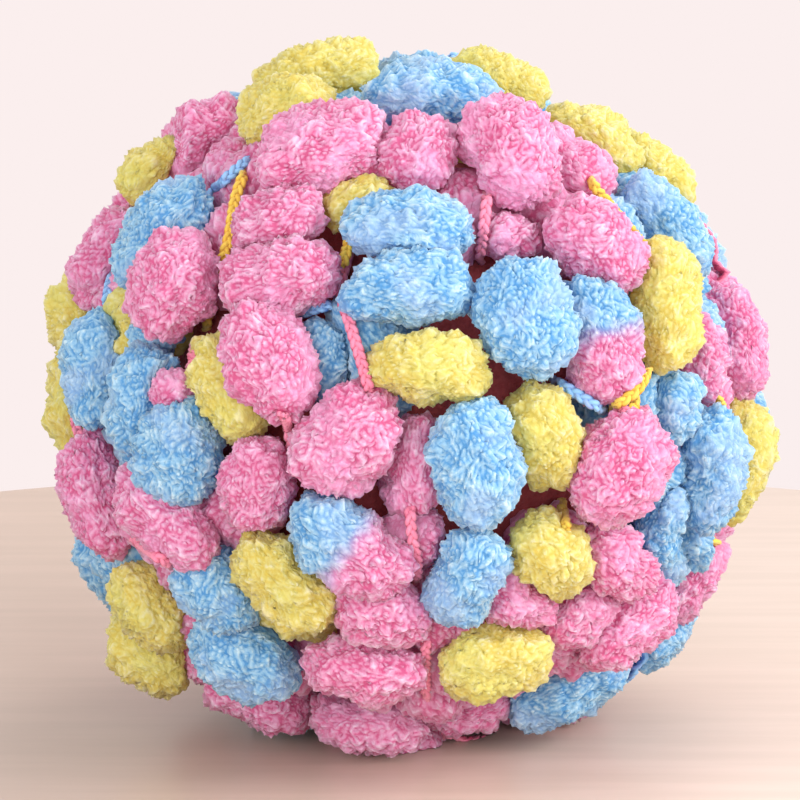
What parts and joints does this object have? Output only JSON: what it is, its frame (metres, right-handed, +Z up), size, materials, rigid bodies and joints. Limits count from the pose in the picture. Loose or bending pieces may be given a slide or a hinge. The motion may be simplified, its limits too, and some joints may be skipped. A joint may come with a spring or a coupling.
{
  "type": "chunky pompom yarn ball",
  "caption": "Ball of chunky yarn: plump oval fleece puffs in pink, blue and yellow on a thin braided cord, wound round and resting on a small flat spot.",
  "frame": {"origin": "under the middle of the ball's box, at the height of its flat spot", "axes": "+Z up, -Y towards the front that the picture shows"},
  "size_m": [0.192, 0.1886, 0.1822],
  "materials": {
    "pink_fleece": "matte",
    "blue_fleece": "matte",
    "yellow_fleece": "matte",
    "braided_cord": "matte"
  },
  "bodies": {
    "root": {"yarn_ball": "pink_fleece"}
  },
  "joints": []
}
